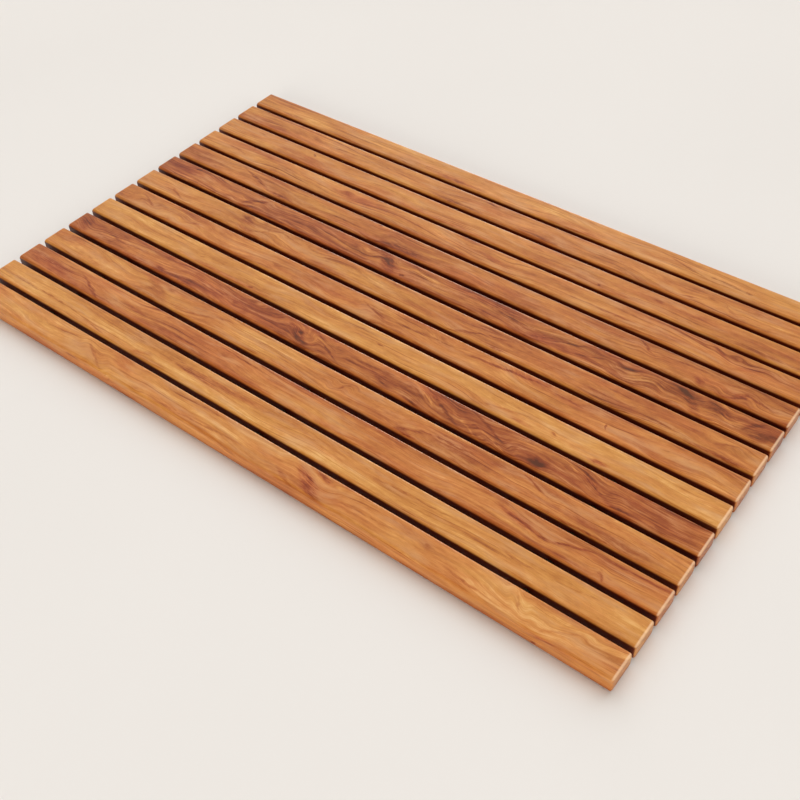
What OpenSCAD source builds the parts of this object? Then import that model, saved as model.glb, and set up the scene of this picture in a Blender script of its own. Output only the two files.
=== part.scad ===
// Roll-up slatted wooden bath mat.
// Solid slats lie side by side, strung on a set of cords. A round-nosed spacer on every cord keeps
// each gap open, and the cords bend at the middle of the gaps, so that the mat rolls and drapes.
// X runs along the slats, Y from the front slat to the back slat, and Z up from the floor.
// The origin is on the floor, under the middle of the mat.

/* [Slats] */
// Number of slats in the mat
slat_count = 14; // [4:1:14]
// Length of a slat
slat_len = 800; // [740:10:1200]
// Width of a slat
slat_w = 30.25; // [26:0.25:45]
// Thickness of a slat
slat_t = 17.5; // [16:0.5:24]
// Open gap between two neighbouring slats
gap = 5.5; // [4:0.1:8]

/* [Edges] */
// Radius along the two long top edges
top_edge_r = 3; // [0.5:0.1:4]
// Radius along the two long bottom edges
bottom_edge_r = 1.5; // [0.5:0.1:3]
// Radius of the top and bottom edges at the slat ends
end_edge_r = 2.5; // [0.5:0.1:4]
// Radius of the four upright corners of a slat
corner_r = 1.5; // [0.5:0.5:8]

/* [Cords] */
// Number of cords across the mat
cord_count = 3; // [1:1:3]
// Distance between neighbouring cords
cord_spacing = 300; // [280:5:300]
// Diameter of a cord
cord_d = 2.5; // [2:0.1:3]
// Diameter of the bores that the cords run in
cord_bore_d = 3.5; // [3.2:0.1:4.2]
// Diameter of the knot at a cord's end
knot_d = 7; // [5:0.5:7.5]
// Length of that knot along the cord
knot_len = 6; // [4:0.5:6]
// Diameter of the pocket that holds a knot
pocket_d = 10; // [10:0.5:12]
// Room between a knot and the roof of its pocket
pocket_headroom = 0.5; // [0.3:0.1:1]
// Height of a knot's tail above the underside of the wood
tail_lift = 2; // [1:0.5:4]

/* [Spacers] */
// Diameter of a spacer's flat flange
flange_d = 8; // [6:0.5:8]
// Distance from the flange to the middle of the gap
flange_setback = 0.5; // [0.5:0.1:1]
// Length of a spacer's round nose along the gap
nose_len = 6; // [4:0.5:6]
// Air left between a spacer's nose and the next slat
nose_clearance = 0.15; // [0.1:0.05:0.2]
// Air around the cord in a spacer
spacer_clearance = 0.05; // [0.05:0.05:0.1]

/* [Grip pads] */
// Number of pads under each slat
pad_count = 4; // [2:2:4]
// Distance between neighbouring pads
pad_spacing = 230; // [220:5:235]
// Diameter of a pad
pad_d = 12; // [8:0.5:14]
// Thickness of a pad
pad_t = 2.5; // [2:0.1:4]
// Height of a pad below the wood
pad_proud = 0.5; // [0.3:0.1:1.5]
// Width of the bevel around the foot of a pad
pad_bevel = 0.4; // [0.2:0.1:0.8]
// Air around a pad in its recess
pad_clearance = 0.05; // [0.05:0.05:0.2]

/* [Colours] */
// Tone of each slat, from the front slat to the back slat
slat_tones = [
    "#C98A50", "#CE9456", "#B87443", "#CD8F53", "#A9683C", "#D3A05F", "#BC7845",
    "#CB8C51", "#A0643C", "#BD7A48", "#C8894F", "#CA8C52", "#C78650", "#CF9659"
];
// Colour of the cords and their knots
cord_colour = "#4A3424";
// Colour of the rubber spacers and pads
rubber_colour = "#2E2926";

/* [Hidden] */
$fn = 64;
pitch = slat_w + gap;
cord_z = pad_proud + slat_t / 2;
pocket_top_z = cord_z + knot_d / 2 + pocket_headroom;
nose_r = gap / 2 - nose_clearance;
cord_past_nose_axis = 0.5;
flange_t = gap / 2 - flange_setback;
overshoot = 1;
all_slats = [1 : slat_count];
all_gaps = [1 : slat_count - 1];
all_cords = [0 : cord_count - 1];
all_pads = [0 : pad_count - 1];

// Name of one of a numbered family, such as slat_07
function named(family, i) = str(family, i < 10 ? "_0" : "_", i);

// Middle of slat i across the mat, counted from the front
function slat_y(i) = (i - (slat_count + 1) / 2) * pitch;

// Place of item j in an evenly spaced row of n about the middle of the mat
function row_x(j, n, spacing) = (j - (n - 1) / 2) * spacing;

function is_front(i) = i == 1;
function is_back(i) = i == slat_count;

// Rectangle of size w by h that stands on the X axis, with its own radii above and below
module rounded_outline(w, h, r_below, r_above) {
    translate([-w / 2, r_below]) square([w, h - r_below - r_above]);
    translate([-w / 2 + r_below, 0]) square([w - 2 * r_below, h / 2]);
    translate([-w / 2 + r_above, h / 2]) square([w - 2 * r_above, h / 2]);
    for (side = [-1, 1]) {
        translate([side * (w / 2 - r_below), r_below]) circle(r_below);
        translate([side * (w / 2 - r_above), h - r_above]) circle(r_above);
    }
}

// Slat without holes: its cross-section, its end view and its plan, all with round corners
module slat_blank() {
    intersection() {
        rotate([90, 0, 90])
            linear_extrude(slat_len, center = true)
                rounded_outline(slat_w, slat_t, bottom_edge_r, top_edge_r);
        rotate([90, 0, 0])
            linear_extrude(slat_w + 2 * overshoot, center = true)
                rounded_outline(slat_len, slat_t, end_edge_r, end_edge_r);
        translate([0, -slat_w / 2, -overshoot])
            linear_extrude(slat_t + 2 * overshoot)
                rounded_outline(slat_len, slat_w, corner_r, corner_r);
    }
}

// Cylinder along Y between two places on one cord
module along_cord(d, y_from, y_to) {
    translate([0, y_from, cord_z]) rotate([-90, 0, 0]) cylinder(d = d, h = y_to - y_from);
}

// Where a run of cord starts and ends, from the middle of slat i. It starts at the slat's front face
// or at the front knot, and ends inside the spacer behind the slat or at the back knot.
function cord_from(i) = is_front(i) ? knot_len / 2 : -slat_w / 2;
function cord_to(i) = is_back(i) ? -knot_len / 2 : pitch / 2 + cord_past_nose_axis;

// Wooden slat i, bored for the cords and recessed for the pads
module slat(i) {
    color(slat_tones[i - 1])
        translate([0, slat_y(i), 0])
            difference() {
                translate([0, 0, pad_proud]) slat_blank();
                for (j = all_cords) translate([row_x(j, cord_count, cord_spacing), 0, 0]) {
                    bore_from = is_front(i) ? 0 : -slat_w / 2 - overshoot;
                    bore_to = is_back(i) ? 0 : slat_w / 2 + overshoot;
                    along_cord(cord_bore_d, bore_from, bore_to);
                    if (is_front(i) || is_back(i))
                        cylinder(d = pocket_d, h = pocket_top_z);
                }
                for (j = all_pads)
                    translate([row_x(j, pad_count, pad_spacing), 0, 0])
                        cylinder(d = pad_d + 2 * pad_clearance, h = pad_t);
            }
}

// Rubber pads under slat i, bevelled at the floor
module grip_pads(i) {
    color(rubber_colour)
        for (j = all_pads)
            translate([row_x(j, pad_count, pad_spacing), slat_y(i), 0]) {
                cylinder(d1 = pad_d - 2 * pad_bevel, d2 = pad_d, h = pad_bevel);
                translate([0, 0, pad_bevel]) cylinder(d = pad_d, h = pad_t - pad_bevel);
            }
}

// The runs of cord in slat i and in the spacers behind it
module cord_run(i) {
    color(cord_colour)
        for (j = all_cords)
            translate([row_x(j, cord_count, cord_spacing), slat_y(i), 0])
                along_cord(cord_d, cord_from(i), cord_to(i));
}

// Spacers between slat i and slat i + 1, bored for the cords: each has a flange against slat i, and
// a round nose whose axis is the line that the two slats fold about
module spacers(i) {
    color(rubber_colour)
        for (j = all_cords)
            translate([row_x(j, cord_count, cord_spacing), slat_y(i) + pitch / 2, 0])
                difference() {
                    union() {
                        along_cord(flange_d, -gap / 2, -gap / 2 + flange_t);
                        translate([0, 0, cord_z])
                            rotate([0, 90, 0]) cylinder(r = nose_r, h = nose_len, center = true);
                    }
                    along_cord(cord_d + 2 * spacer_clearance, -gap, gap);
                }
}

// The knots that stop the cords in end slat i, each with its tail hanging in the pocket
module cord_knots(i) {
    tail_foot_z = pad_proud + tail_lift;
    color(cord_colour)
        for (j = all_cords)
            translate([row_x(j, cord_count, cord_spacing), slat_y(i), 0]) {
                along_cord(knot_d, -knot_len / 2, knot_len / 2);
                translate([0, 0, tail_foot_z]) cylinder(d = cord_d, h = cord_z - tail_foot_z);
            }
}

for (i = all_slats) {
    slat(i);
    grip_pads(i);
    cord_run(i);
}
for (i = all_gaps) {
    spacers(i);
}
cord_knots(1);  // cord_knots_front
cord_knots(slat_count);  // cord_knots_back
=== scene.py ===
"""Roll-up slatted teak bath mat: the looks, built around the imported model.

Everything is in metres in the model's own frame: X along the slats, Y from the front slat to the
back slat, Z up from the floor. Values in millimetres are turned into metres by MM.
"""

import math
from collections import namedtuple

import bmesh
import bpy
from mathutils import Matrix, Vector, noise


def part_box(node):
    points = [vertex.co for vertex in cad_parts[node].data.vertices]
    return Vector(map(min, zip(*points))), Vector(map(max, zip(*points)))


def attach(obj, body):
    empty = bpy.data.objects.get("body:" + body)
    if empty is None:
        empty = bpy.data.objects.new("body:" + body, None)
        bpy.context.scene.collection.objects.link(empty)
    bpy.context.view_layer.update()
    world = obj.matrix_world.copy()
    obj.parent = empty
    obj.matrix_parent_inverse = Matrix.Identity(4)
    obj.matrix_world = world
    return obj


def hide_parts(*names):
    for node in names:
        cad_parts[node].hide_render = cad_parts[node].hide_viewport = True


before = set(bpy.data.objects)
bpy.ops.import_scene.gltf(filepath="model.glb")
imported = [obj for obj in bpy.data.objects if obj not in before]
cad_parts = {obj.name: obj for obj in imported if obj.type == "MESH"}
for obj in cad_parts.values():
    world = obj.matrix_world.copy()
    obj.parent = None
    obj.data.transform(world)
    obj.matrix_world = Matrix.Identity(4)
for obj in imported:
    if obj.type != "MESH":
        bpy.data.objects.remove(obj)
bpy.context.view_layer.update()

MM = 0.001

# -------------------- sizes, as in the design

TOP_EDGE_R = 3.0 * MM
BOTTOM_EDGE_R = 1.5 * MM
END_EDGE_R = 2.5 * MM
CORNER_R = 1.5 * MM
EDGE_WEAR = 0.10                # share by which hand sanding varies the edge radii
EDGE_WEAR_LENGTH = 55 * MM
WEAR_STEP = 7.3                 # sets the wear of neighbouring slats apart
STATION_STEP = 16 * MM          # distance between the sections that a slat is lofted from
END_STEPS = 8                   # sections in the round at each end of a slat
TOP_ARC_STEPS = 8
BOTTOM_ARC_STEPS = 5

CORD_BORE_R = 1.75 * MM
POCKET_R = 5.0 * MM
POCKET_HEADROOM = 0.5 * MM
PAD_CLEARANCE = 0.05 * MM
MOUTH_FLARE = 0.35 * MM         # eased edge at the mouth of a bore, pocket or recess
ROUND_SIDES = 40
RIGHT = (1, 0, 0)
BACK = (0, 1, 0)
UP = (0, 0, 1)

PAD_BEVEL = 0.4 * MM
PAD_GROOVE_DEPTH = 0.25 * MM
PAD_GROOVE_RADII = (2.0 * MM, 3.9 * MM)
PAD_GROOVE_W = 0.45 * MM
PAD_RIM_STEPS = 5

SPACER_FLANGE_T = 2.25 * MM
SPACER_NOSE_R = 2.6 * MM
SPACER_NOSE_LEN = 6.0 * MM
SPACER_BORE_R = 1.3 * MM
SPACER_RIM_R = 0.35 * MM
SPACER_RIM_STEPS = 4
SPACER_BORE_SIDES = 32

ROPE_LAY = 9.0 * MM             # length in which a strand goes once round its cord
ROPE_STRANDS = 3
STRAND_SIDES = 8
STRAND_STEP = 0.9 * MM
STRAND_PRESS = 1.06             # strands press into each other, so each is a little thicker
KNOT_WRAPS = 2
KNOT_WRAP_STEPS = 28
KNOT_CORD_R = 1.0 * MM
KNOT_CORE_SIDES = 12
KNOT_TAIL_STEPS = 8

SMOOTH_ANGLE = 35               # degrees above which an edge is shaded sharp
PAD_SMOOTH_ANGLE = 40
CORD_SMOOTH_ANGLE = 50
FLAT_FACE_WEIGHT = 90

# -------------------- the frame's own places

SLATS = sorted(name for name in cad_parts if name.startswith("slat_"))
SLAT_COUNT = len(SLATS)
CORD_COUNT = 3
PAD_COUNT = 4                   # under each slat


def numbered(family, i):
    """Name of one of a numbered family of nodes, such as slat_07."""
    return f"{family}_{i:02d}"


def middle(node):
    """Middle of a CAD node's box."""
    low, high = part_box(node)
    return (low + high) / 2


def spread(node, count, item_width):
    """X of each of a row of equal items in one node, from the node's box."""
    low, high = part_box(node)
    first = low.x + item_width / 2
    last = high.x - item_width / 2
    return [first + (last - first) * j / (count - 1) for j in range(count)]


CORD_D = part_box("cord_run_02")[1].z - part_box("cord_run_02")[0].z
CORD_Z = middle("cord_run_02").z
CORD_XS = spread("cord_run_02", CORD_COUNT, CORD_D)
KNOT_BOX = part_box("cord_knots_front")
KNOT_LEN = KNOT_BOX[1].y - KNOT_BOX[0].y
KNOT_R = KNOT_BOX[1].z - CORD_Z
PAD_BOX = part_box("grip_pads_01")
PAD_R = (PAD_BOX[1].y - PAD_BOX[0].y) / 2
PAD_TOP_Z = PAD_BOX[1].z
PAD_XS = spread("grip_pads_01", PAD_COUNT, 2 * PAD_R)
SPACER_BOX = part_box("spacers_01")
FLANGE_R = (SPACER_BOX[1].z - SPACER_BOX[0].z) / 2
PITCH = middle("slat_02").y - middle("slat_01").y

# -------------------- mesh building


def new_piece(name, bm, materials, smooth_angle=SMOOTH_ANGLE):
    """A mesh object from bm, shaded smooth but for its real corners."""
    bmesh.ops.recalc_face_normals(bm, faces=bm.faces)
    mesh = bpy.data.meshes.new(name)
    bm.to_mesh(mesh)
    bm.free()
    mesh.shade_smooth()
    mesh.set_sharp_from_angle(angle=math.radians(smooth_angle))
    piece = bpy.data.objects.new(name, mesh)
    bpy.context.scene.collection.objects.link(piece)
    for material in materials:
        mesh.materials.append(material)
    return piece


def arc(cy, cz, radius, first_deg, steps):
    """A quarter circle of points, anticlockwise from first_deg."""
    angles = [math.radians(first_deg + 90 * k / steps) for k in range(steps + 1)]
    return [(cy + radius * math.cos(a), cz + radius * math.sin(a)) for a in angles]


def section(cy, half_w, z_low, z_top, r_low, r_top):
    """Outline of a slat across its length, from the back face up and round."""
    y_back = cy + half_w
    y_front = cy - half_w
    return (
        arc(y_back - r_top, z_top - r_top, r_top, 0, TOP_ARC_STEPS)
        + arc(y_front + r_top, z_top - r_top, r_top, 90, TOP_ARC_STEPS)
        + arc(y_front + r_low, z_low + r_low, r_low, 180, BOTTOM_ARC_STEPS)
        + arc(y_back - r_low, z_low + r_low, r_low, 270, BOTTOM_ARC_STEPS)
    )


def circle_drop(past, radius):
    """How far a quarter circle has fallen away at a distance past its start."""
    past = min(max(past, 0.0), radius)
    return radius - math.sqrt(radius * radius - past * past)


def stations(x_low, x_high):
    """Places along a slat at which its section is set: close together in the round ends."""
    turns = [math.pi / 2 * k / END_STEPS for k in range(1, END_STEPS + 1)]
    close = sorted({round(r * (1 - math.sin(t)), 7) for r in (CORNER_R, END_EDGE_R) for t in turns})
    end = max(CORNER_R, END_EDGE_R)
    count = round((x_high - x_low - 2 * end) / STATION_STEP)
    body = [x_low + end + (x_high - x_low - 2 * end) * k / count for k in range(count + 1)]
    return [x_low + d for d in close] + body + [x_high - d for d in reversed(close)]


def worn(radius, x, key):
    """An edge radius that wanders a little along the slat, as hand sanding leaves it. key sets
    the wandering of each edge apart."""
    return radius * (1 + EDGE_WEAR * noise.noise(Vector((x / EDGE_WEAR_LENGTH, key, 0))))


def slat_blank(node, key):
    """A slat without holes, lofted through its sections."""
    low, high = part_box(node)
    half_w = (high.y - low.y) / 2
    bm = bmesh.new()
    rings = []
    for x in stations(low.x, high.x):
        from_end = min(x - low.x, high.x - x)
        narrow = circle_drop(CORNER_R - from_end, CORNER_R)
        drop = circle_drop(END_EDGE_R - from_end, END_EDGE_R)
        outline = section(
            middle(node).y,
            half_w - narrow,
            low.z + drop,
            high.z - drop,
            worn(BOTTOM_EDGE_R, x, key),
            worn(TOP_EDGE_R, x, key + 0.5),
        )
        rings.append([bm.verts.new((x, y, z)) for y, z in outline])
    skin(bm, rings, closed=True)
    bm.faces.new(rings[0])
    bm.faces.new(rings[-1])
    return bm


def skin(bm, rings, closed):
    """Faces between neighbouring rings of the same number of points."""
    size = len(rings[0])
    last = size if closed else size - 1
    for here, there in zip(rings, rings[1:]):
        for k in range(last):
            n = (k + 1) % size
            bm.faces.new((here[k], here[n], there[n], there[k]))


def circle(centre, radius, side, other, sides):
    """Points of a circle in the plane of two unit vectors."""
    turns = [2 * math.pi * k / sides for k in range(sides)]
    return [centre + radius * (math.cos(t) * side + math.sin(t) * other) for t in turns]


def turned(bm, outline, place, axis, sides=ROUND_SIDES):
    """A solid of revolution. outline is (radius, height) from foot to top, and axis is a unit
    vector. A point of radius 0 closes the solid."""
    axis = Vector(axis)
    side = axis.orthogonal().normalized()
    other = axis.cross(side)
    rings = []
    for radius, height in outline:
        centre = Vector(place) + axis * height
        if radius == 0:
            rings.append([bm.verts.new(centre)])
            continue
        rings.append([bm.verts.new(p) for p in circle(centre, radius, side, other, sides)])
    for here, there in zip(rings, rings[1:]):
        for k in range(sides):
            n = (k + 1) % sides
            corners = [here[k % len(here)], here[n % len(here)],
                       there[n % len(there)], there[k % len(there)]]
            bm.faces.new(list(dict.fromkeys(corners)))


def row_of(outline, xs, y, z, axis, sides=ROUND_SIDES):
    """One mesh of equal solids of revolution in a row along X."""
    bm = bmesh.new()
    for x in xs:
        turned(bm, outline, (x, y, z), axis, sides)
    return bm


def flared(radius, foot, top, flare_foot, flare_top):
    """Outline of a round cutter from foot to top, wider where it breaks a surface."""
    past = MOUTH_FLARE
    wide = radius + 2 * past
    lower = [(0, foot), (radius, foot)]
    upper = [(radius, top), (0, top)]
    if flare_foot:
        lower = [(0, foot - past), (wide, foot - past), (radius, foot + past)]
    if flare_top:
        upper = [(radius, top - past), (wide, top + past), (0, top + past)]
    return lower + upper


def combine(piece, meshes, operation):
    """Joins other meshes to the piece (UNION) or takes them away from it (DIFFERENCE)."""
    helpers = []
    for k, bm in enumerate(meshes):
        helper = new_piece(f"helper_{k}", bm, [])
        helpers.append(helper)
        modifier = piece.modifiers.new(f"combine_{k}", "BOOLEAN")
        modifier.operation = operation
        modifier.solver = "EXACT"
        modifier.object = helper
    apply_modifiers(piece)
    for helper in helpers:
        bpy.data.objects.remove(helper)


def apply_modifiers(piece):
    """Bakes the modifiers into the mesh, so that none is left on the piece."""
    bpy.context.view_layer.update()
    graph = bpy.context.evaluated_depsgraph_get()
    mesh = bpy.data.meshes.new_from_object(piece.evaluated_get(graph))
    piece.modifiers.clear()
    old = piece.data
    mesh.name = piece.name
    piece.data = mesh
    bpy.data.meshes.remove(old)


def shade(piece, angle=SMOOTH_ANGLE):
    """Smooth shading that keeps flat faces flat and real corners sharp."""
    piece.data.shade_smooth()
    piece.data.set_sharp_from_angle(angle=math.radians(angle))
    modifier = piece.modifiers.new("flat_faces", "WEIGHTED_NORMAL")
    modifier.keep_sharp = True
    modifier.weight = FLAT_FACE_WEIGHT
    apply_modifiers(piece)


def frames_along(points):
    """The direction of a line at each of its points, and a side vector there, which turns as
    little as possible on the way."""
    padded = [points[0], *points, points[-1]]
    tangents = [(ahead - behind).normalized() for behind, ahead in zip(padded, padded[2:])]
    side = tangents[0].orthogonal().normalized()
    sides = []
    for tangent in tangents:
        side = (side - tangent * side.dot(tangent)).normalized()
        sides.append(side)
    return tangents, sides


def sweep(bm, points, radius, sides):
    """A round tube along the points, closed at both ends."""
    tangents, side_vectors = frames_along(points)
    rings = []
    for point, tangent, side in zip(points, tangents, side_vectors):
        ring = circle(point, radius, side, tangent.cross(side), sides)
        rings.append([bm.verts.new(p) for p in ring])
    skin(bm, rings, closed=True)
    bm.faces.new(rings[0])
    bm.faces.new(rings[-1])


def rope(bm, points, radius, start_length):
    """A laid cord of ROPE_STRANDS strands along a line. start_length keeps the lay in step."""
    strand_r = STRAND_PRESS * radius / (1 + 1 / math.sin(math.pi / ROPE_STRANDS))
    offset = radius - strand_r
    tangents, side_vectors = frames_along(points)
    lengths = [start_length]
    for a, b in zip(points, points[1:]):
        lengths.append(lengths[-1] + (b - a).length)
    for strand in range(ROPE_STRANDS):
        first = 2 * math.pi * strand / ROPE_STRANDS
        line = []
        for point, tangent, side, run in zip(points, tangents, side_vectors, lengths):
            turn = first + 2 * math.pi * run / ROPE_LAY
            away = math.cos(turn) * side + math.sin(turn) * tangent.cross(side)
            line.append(point + offset * away)
        sweep(bm, line, strand_r, STRAND_SIDES)


# -------------------- pieces


def make_slat(i, material):
    """Slat i of solid teak, bored for the cords and recessed for the pads. The outer slats have
    blind pockets for the knots, and their bores end in them."""
    node = numbered("slat", i)
    low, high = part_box(node)
    cy = middle(node).y
    is_front = i == 1
    is_back = i == SLAT_COUNT
    first_y = cy if is_front else low.y
    last_y = cy if is_back else high.y
    bore = flared(CORD_BORE_R, first_y, last_y, not is_front, not is_back)
    recess = flared(PAD_R + PAD_CLEARANCE, low.z, PAD_TOP_Z, True, False)
    cutters = [row_of(bore, CORD_XS, 0, CORD_Z, BACK), row_of(recess, PAD_XS, cy, 0, UP)]
    if is_front or is_back:
        pocket = flared(POCKET_R, low.z, CORD_Z + KNOT_R + POCKET_HEADROOM, True, False)
        cutters.append(row_of(pocket, CORD_XS, cy, 0, UP))
    piece = new_piece(f"teak_{node}", slat_blank(node, i * WEAR_STEP), [material])
    combine(piece, cutters, "DIFFERENCE")
    shade(piece)
    place_piece(piece, i, numbered("teak", i), node)


def place_piece(piece, i, slot, *nodes):
    """Puts a piece on slat i's body, in place of its CAD nodes. slot is not used."""
    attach(piece, numbered("slat", i) + "_body")
    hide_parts(*nodes)


def pad_outline():
    """A grip pad from foot to top: two grip grooves in the foot and a soft bevelled rim."""
    outline = [(0, 0)]
    for radius in PAD_GROOVE_RADII:
        outline += [
            (radius - PAD_GROOVE_W, 0),
            (radius - PAD_GROOVE_W / 2, PAD_GROOVE_DEPTH),
            (radius + PAD_GROOVE_W / 2, PAD_GROOVE_DEPTH),
            (radius + PAD_GROOVE_W, 0),
        ]
    rim = PAD_R - PAD_BEVEL
    for k in range(PAD_RIM_STEPS + 1):
        turn = math.pi / 2 * k / PAD_RIM_STEPS
        outline.append((rim + PAD_BEVEL * math.sin(turn), PAD_BEVEL * (1 - math.cos(turn))))
    outline += [(PAD_R, PAD_TOP_Z), (0, PAD_TOP_Z)]
    return outline


def make_pads(i, material):
    """The four rubber grip pads under slat i."""
    node = numbered("grip_pads", i)
    bm = row_of(pad_outline(), PAD_XS, middle(node).y, 0, UP)
    piece = new_piece(f"rubber_{node}", bm, [material], PAD_SMOOTH_ANGLE)
    shade(piece, PAD_SMOOTH_ANGLE)
    place_piece(piece, i, "rubber", node)


def rounded_disc(radius, foot, top, rim):
    """Outline of a disc with round rims at both faces."""
    turns = [math.pi / 2 * k / SPACER_RIM_STEPS for k in range(SPACER_RIM_STEPS + 1)]
    lower = [(radius - rim + rim * math.sin(t), foot + rim * (1 - math.cos(t))) for t in turns]
    upper = [(radius - rim + rim * math.cos(t), top - rim * (1 - math.sin(t))) for t in turns]
    return [(0, foot)] + lower + upper + [(0, top)]


def make_spacers(i, material):
    """The three rubber spacers in the gap behind slat i: a flange, a round nose and a bore."""
    node = numbered("spacers", i)
    low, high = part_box(node)
    nose_y = middle(numbered("slat", i)).y + PITCH / 2
    half_nose = SPACER_NOSE_LEN / 2
    disc = rounded_disc(FLANGE_R, low.y, low.y + SPACER_FLANGE_T, SPACER_RIM_R)
    nose = rounded_disc(SPACER_NOSE_R, -half_nose, half_nose, SPACER_RIM_R)
    bore = flared(SPACER_BORE_R, low.y, high.y, True, True)
    piece = new_piece(f"rubber_{node}", row_of(disc, CORD_XS, 0, CORD_Z, BACK), [material])
    combine(piece, [row_of(nose, CORD_XS, nose_y, CORD_Z, RIGHT)], "UNION")
    bores = row_of(bore, CORD_XS, 0, CORD_Z, BACK, SPACER_BORE_SIDES)
    combine(piece, [bores], "DIFFERENCE")
    shade(piece)
    place_piece(piece, i, "rubber", node)


def straight(x, z, y_from, y_to):
    """Points of a straight line along Y."""
    count = max(2, round((y_to - y_from) / STRAND_STEP))
    return [Vector((x, y_from + (y_to - y_from) * k / count, z)) for k in range(count + 1)]


def make_cord_run(i, material):
    """The three runs of laid cord in slat i, in step with the runs of its neighbours."""
    node = numbered("cord_run", i)
    low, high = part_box(node)
    bm = bmesh.new()
    for x in CORD_XS:
        rope(bm, straight(x, CORD_Z, low.y, high.y), CORD_D / 2, low.y)
    for vert in bm.verts:       # strand ends cut off square, flush with the slat
        vert.co.y = min(max(vert.co.y, low.y), high.y)
    piece = new_piece(f"cord_{node}", bm, [material], CORD_SMOOTH_ANGLE)
    place_piece(piece, i, "cord", node)


def knot_lines(x, cy, side):
    """Lines of a barrel stopper knot: its core and its wraps. side is +1 where the cord comes
    from the back, and -1 where it comes from the front."""
    core = straight(x, CORD_Z, cy - KNOT_LEN / 2, cy + KNOT_LEN / 2)
    wrap_r = KNOT_R - KNOT_CORD_R
    half = KNOT_LEN / 2 - KNOT_CORD_R
    steps = KNOT_WRAPS * KNOT_WRAP_STEPS + 1
    wraps = []
    for k in range(steps):
        turn = -math.pi / 2 + 2 * math.pi * KNOT_WRAPS * (k / (steps - 1))
        y = cy + side * (2 * half * k / (steps - 1) - half)
        wraps.append(Vector((x + wrap_r * math.cos(turn), y, CORD_Z + wrap_r * math.sin(turn))))
    return core, wraps


def knot_tail(x, cy, tail_z):
    """Line of the knot's tail, from its wraps down to tail_z."""
    wrap_r = KNOT_R - KNOT_CORD_R
    top_z = CORD_Z - wrap_r + KNOT_CORD_R / 2
    step = (tail_z - top_z) / KNOT_TAIL_STEPS
    return [Vector((x, cy, top_z + step * k)) for k in range(KNOT_TAIL_STEPS + 1)]


def make_knots(i, node, side, material):
    """The three knots in an end slat."""
    tail_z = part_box(node)[0].z
    cy = middle(node).y
    bm = bmesh.new()
    for x in CORD_XS:
        core, wraps = knot_lines(x, cy, side)
        sweep(bm, core, CORD_D / 2, KNOT_CORE_SIDES)
        rope(bm, wraps, KNOT_CORD_R, 0)
        rope(bm, knot_tail(x, cy, tail_z), KNOT_CORD_R, 0)
    piece = new_piece(f"cord_{node}", bm, [material], CORD_SMOOTH_ANGLE)
    place_piece(piece, i, "cord", node)


# -------------------- node materials


SHADER_INPUTS = {"specular": "Specular IOR Level", "sheen": "Sheen Weight"}


def linear(hex_colour):
    """Scene-linear colour of an sRGB hex colour, with an alpha of 1."""
    parts = [int(hex_colour[k:k + 2], 16) / 255 for k in (1, 3, 5)]
    lit = [p / 12.92 if p <= 0.04045 else ((p + 0.055) / 1.055) ** 2.4 for p in parts]
    return (*lit, 1)


FADE_FULL = 0.85                # share of an ellipse's radius over which it fades in from its rim
SEED_STEPS = (3.17, 5.31, 1.73)  # how far one unit of seed moves a noise along each axis

# A layer of noise: its feature sizes in mm along the axes, a number that sets its pattern apart,
# its detail, roughness and distortion, and, where it serves as a mask, the two values between
# which it is hardened.
Layer = namedtuple("Layer", "sizes apart detail roughness distortion edges",
                   defaults=(2.0, 0.5, 0.0, (0.0, 1.0)))


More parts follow.
